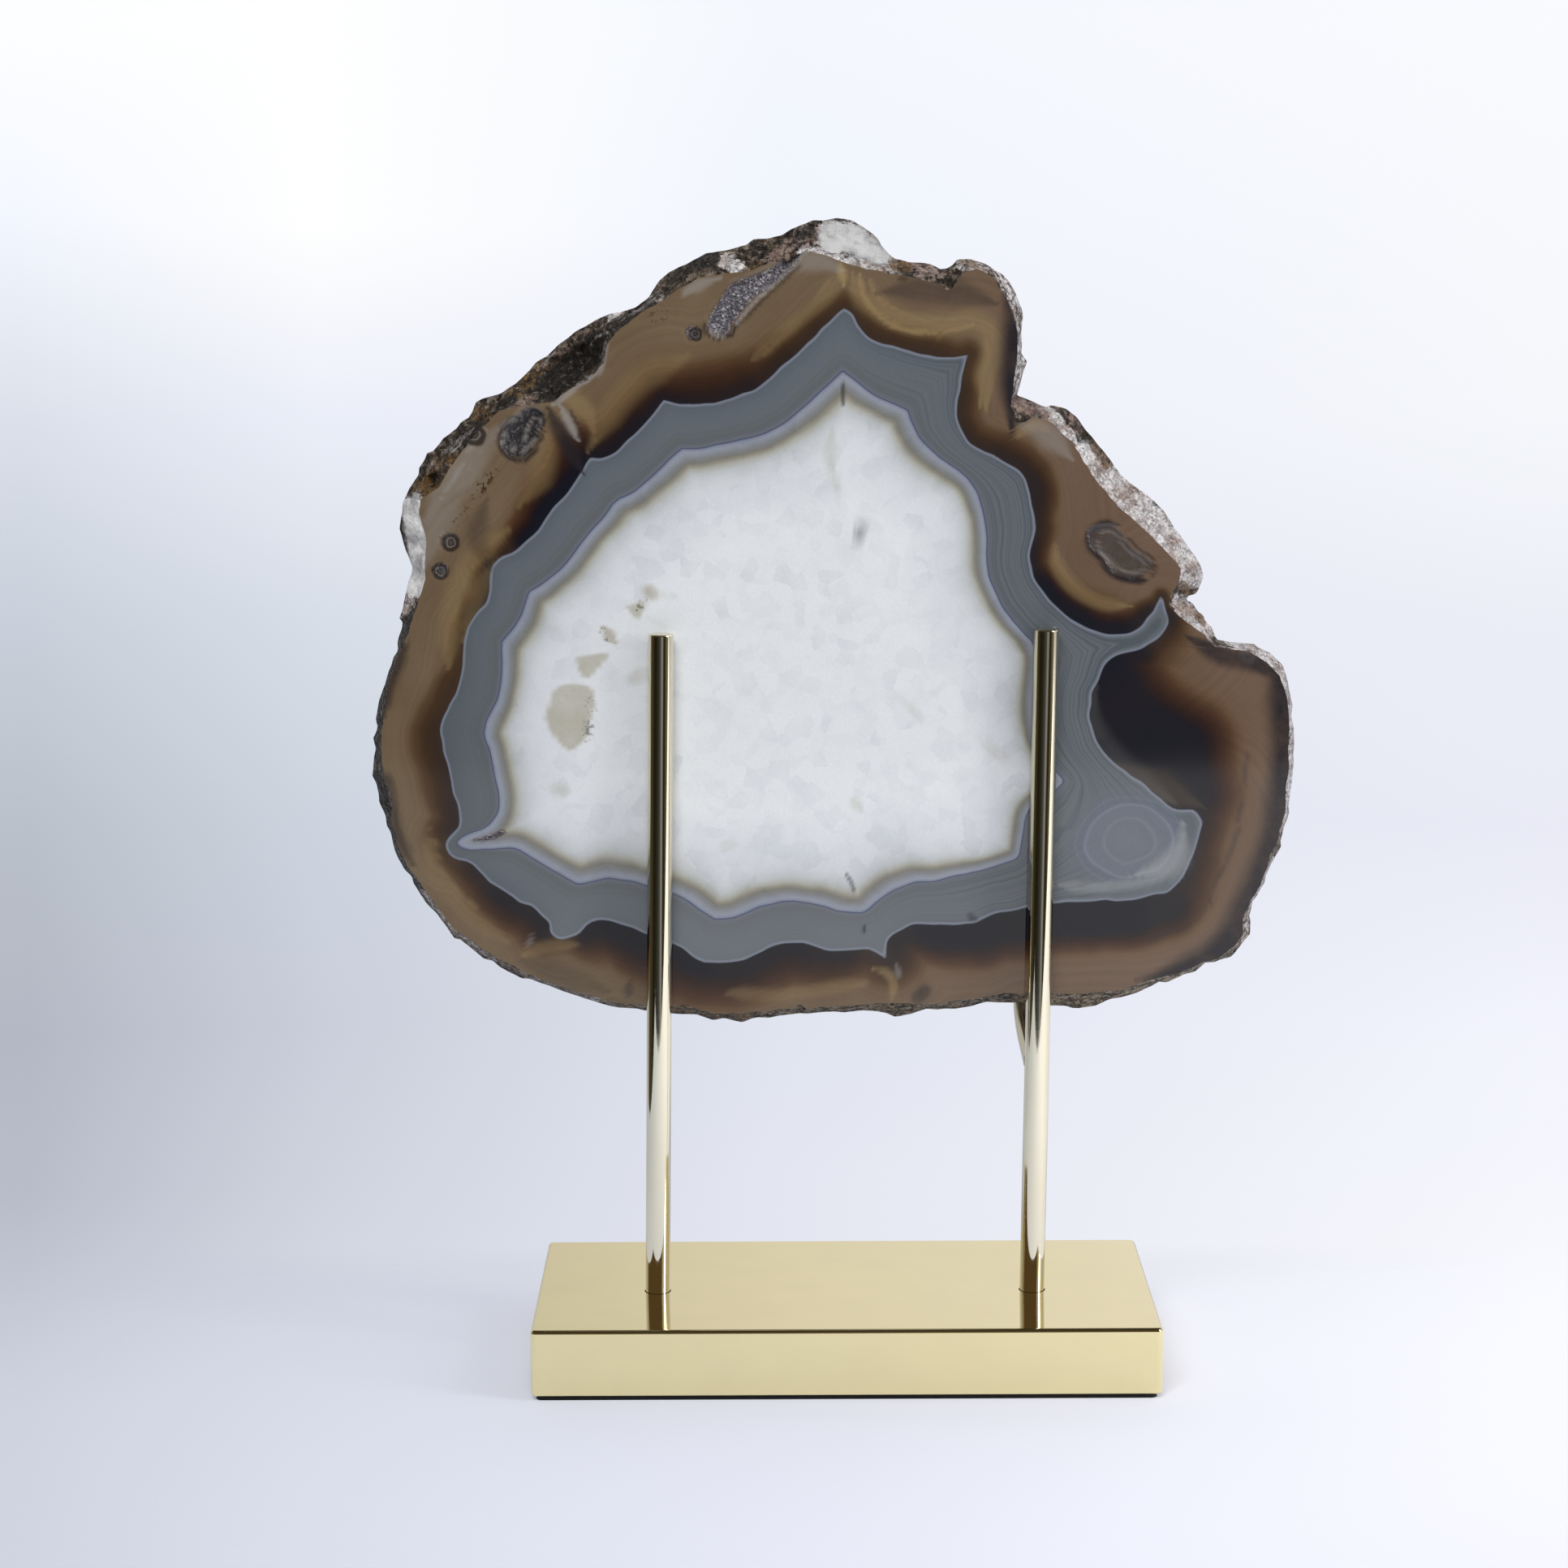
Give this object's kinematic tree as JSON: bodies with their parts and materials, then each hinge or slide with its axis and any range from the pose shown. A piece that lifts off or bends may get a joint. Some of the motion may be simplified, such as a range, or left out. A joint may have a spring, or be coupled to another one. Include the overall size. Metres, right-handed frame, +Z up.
{
  "type": "agate slice on display stand",
  "caption": "Large polished agate slice with a white quartz heart, grey banding and rough rind, held upright by forked gold rods on a flat metal base.",
  "frame": {"origin": "middle of the underside of the thin pad under the base", "axes": "+Z up, +X to the right along the base, +Y backwards; the polished front face of the slice looks along -Y"},
  "size_m": [0.2969, 0.098, 0.3695],
  "materials": {
    "agate": "banded agate, polished faces and a rough natural rind",
    "polished_gold": "pale gold, polished",
    "dark_felt": "matt black felt"
  },
  "bodies": {
    "root": {"agate_slice": "agate", "base_plate": "polished_gold", "base_pad": "dark_felt", "post_left": "polished_gold", "post_right": "polished_gold", "tine_left": "polished_gold", "tine_right": "polished_gold"}
  },
  "joints": []
}
